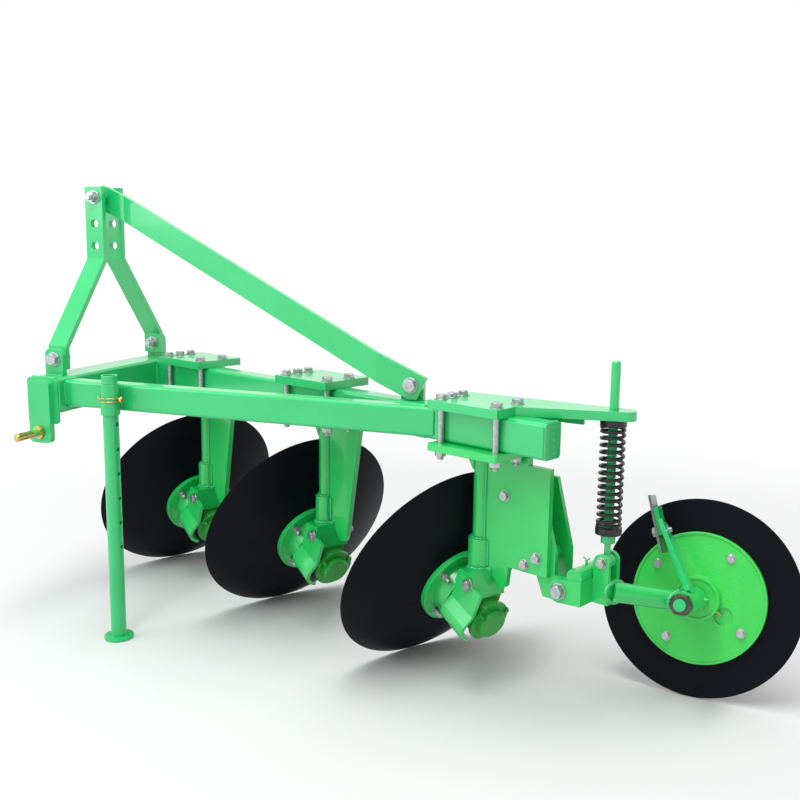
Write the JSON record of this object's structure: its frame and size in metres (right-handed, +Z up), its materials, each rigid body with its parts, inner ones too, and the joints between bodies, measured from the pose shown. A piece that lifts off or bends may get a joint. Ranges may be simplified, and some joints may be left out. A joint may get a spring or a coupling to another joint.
{
  "type": "three-disc mounted plough",
  "caption": "Mounted disc plough: angled beam with dished discs on clamped legs, hitch mast with strut, sprung rear wheel and a parking stand.",
  "frame": {"origin": "middle of the overall box, on the ground", "axes": "+X forward along the line of travel, +Y to the left, +Z up"},
  "size_m": [2.1595, 0.99, 1.281],
  "materials": {
    "green_paint": "gloss",
    "black_paint": "satin",
    "spring_black": "satin",
    "bright_zinc": "satin",
    "yellow_zinc": "satin",
    "dark_steel": "satin",
    "bare_steel": "satin"
  },
  "bodies": {
    "frame": {"crossbeam": "green_paint", "main_beam": "green_paint", "left_beam": "green_paint", "beam_cap": "green_paint", "hitch_plates": "green_paint", "hitch_pin_left": "yellow_zinc", "hitch_pin_right": "yellow_zinc", "mast_lugs": "green_paint", "mast_bar_left": "green_paint", "mast_bar_right": "green_paint", "mast_bolts": "bright_zinc", "mast_spacers": "green_paint", "strut": "green_paint", "strut_lug": "green_paint", "clamp_plate_1": "green_paint", "clamp_plate_2": "green_paint", "clamp_plate_3": "green_paint", "clamp_bolts_1": "bright_zinc", "clamp_bolts_2": "bright_zinc", "clamp_bolts_3": "bright_zinc", "leg_1": "green_paint", "leg_2": "green_paint", "leg_3": "green_paint", "hub_housing_1": "green_paint", "hub_housing_2": "green_paint", "hub_housing_3": "green_paint", "wheel_bracket": "green_paint", "bracket_bolts": "bright_zinc", "wheel_arm": "green_paint", "wheel_axle": "dark_steel", "spring_rod": "green_paint", "wheel_spring": "spring_black", "spring_seats": "spring_black", "scraper_arm": "green_paint", "scraper_blade": "bare_steel", "stand_sleeve": "green_paint", "lock_pin": "yellow_zinc"},
    "disc_1": {"disc_1": "black_paint", "hub_1": "green_paint", "hub_bolts_1": "bright_zinc"},
    "disc_2": {"disc_2": "black_paint", "hub_2": "green_paint", "hub_bolts_2": "bright_zinc"},
    "disc_3": {"disc_3": "black_paint", "hub_3": "green_paint", "hub_bolts_3": "bright_zinc"},
    "rear_wheel": {"wheel_disc": "black_paint", "wheel_hub": "green_paint", "wheel_bolts": "bright_zinc"},
    "stand": {"stand_leg": "green_paint"}
  },
  "joints": [
    {"name": "disc_1_spin", "type": "hinge", "parent": "frame", "child": "disc_1", "pos_m": [0.74765, -0.14241, 0.20714], "axis": [-0.758, 0.5112, -0.4051], "continuous": true},
    {"name": "disc_2_spin", "type": "hinge", "parent": "frame", "child": "disc_2", "pos_m": [0.22166, 0.07331, 0.20714], "axis": [-0.758, 0.5112, -0.4051], "continuous": true},
    {"name": "disc_3_spin", "type": "hinge", "parent": "frame", "child": "disc_3", "pos_m": [-0.30432, 0.28903, 0.20714], "axis": [-0.758, 0.5112, -0.4051], "continuous": true},
    {"name": "rear_wheel_spin", "type": "hinge", "parent": "frame", "child": "rear_wheel", "pos_m": [-0.83076, 0.09003, 0.24403], "axis": [0.1437, 0.9617, 0.2334], "continuous": true},
    {"name": "stand_slide", "type": "slide", "parent": "frame", "child": "stand", "axis": [0, 0, 1], "range_m": [0, 0.42]}
  ]
}
